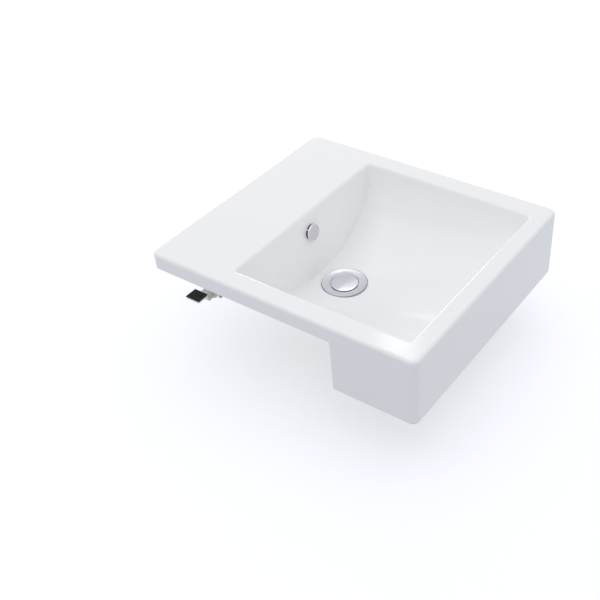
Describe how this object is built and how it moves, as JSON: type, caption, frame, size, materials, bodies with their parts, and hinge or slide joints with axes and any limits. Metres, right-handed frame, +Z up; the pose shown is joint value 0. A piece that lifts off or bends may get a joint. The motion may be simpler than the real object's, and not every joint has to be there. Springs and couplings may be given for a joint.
{
  "type": "semi recessed wash basin",
  "caption": "Shallow rectangular semi recessed basin with a deep front apron, a flat rear deck, a round overflow and a push-to-open waste with its plug.",
  "frame": {"origin": "on the centre line, where the counter's top meets its front edge, which is the inside corner between rim and apron", "axes": "+X to the right of a person facing the basin, +Y towards the wall, +Z up"},
  "size_m": [0.4, 0.452, 0.1975],
  "materials": {
    "white_china": "gloss",
    "bright_chrome": "polished",
    "black_rubber": "matte",
    "white_plastic": "matte",
    "raw_brass": "machined",
    "stainless_steel": "drawn wire",
    "grey_nylon": "matte",
    "zinc_steel": "zinc plated"
  },
  "bodies": {
    "basin": {"basin_body": "white_china", "overflow_cap": "bright_chrome", "waste_body": "bright_chrome", "waste_gasket": "black_rubber", "lower_seal": "black_rubber", "slip_washer": "white_plastic", "back_nut": "raw_brass", "cartridge_sleeve": "raw_brass", "cartridge_collar": "raw_brass", "cartridge_spring": "stainless_steel", "stud_anchors": "grey_nylon", "fixing_studs": "zinc_steel", "clamp_brackets": "zinc_steel", "clamp_pads": "black_rubber", "clamp_washers": "zinc_steel", "wing_nuts": "zinc_steel"},
    "plug": {"plug_cap": "bright_chrome", "plug_seal": "black_rubber", "plunger": "raw_brass"},
    "follower": {"follower_ring": "stainless_steel"}
  },
  "joints": [
    {"name": "plug_slide", "type": "slide", "parent": "basin", "child": "plug", "axis": [0, 0, 1], "range_m": [-0.002, 0.008], "deforming": ["cartridge_spring"]},
    {"name": "follower_turn", "type": "hinge", "parent": "basin", "child": "follower", "pos_m": [0, 0.122, -0.1055], "axis": [0, 0, 1], "range_deg": [-7.1, 28.1]}
  ],
  "couplings": [
    {"joint": "follower_turn", "follows": "plug_slide", "rad_per_m": 61.087}
  ]
}
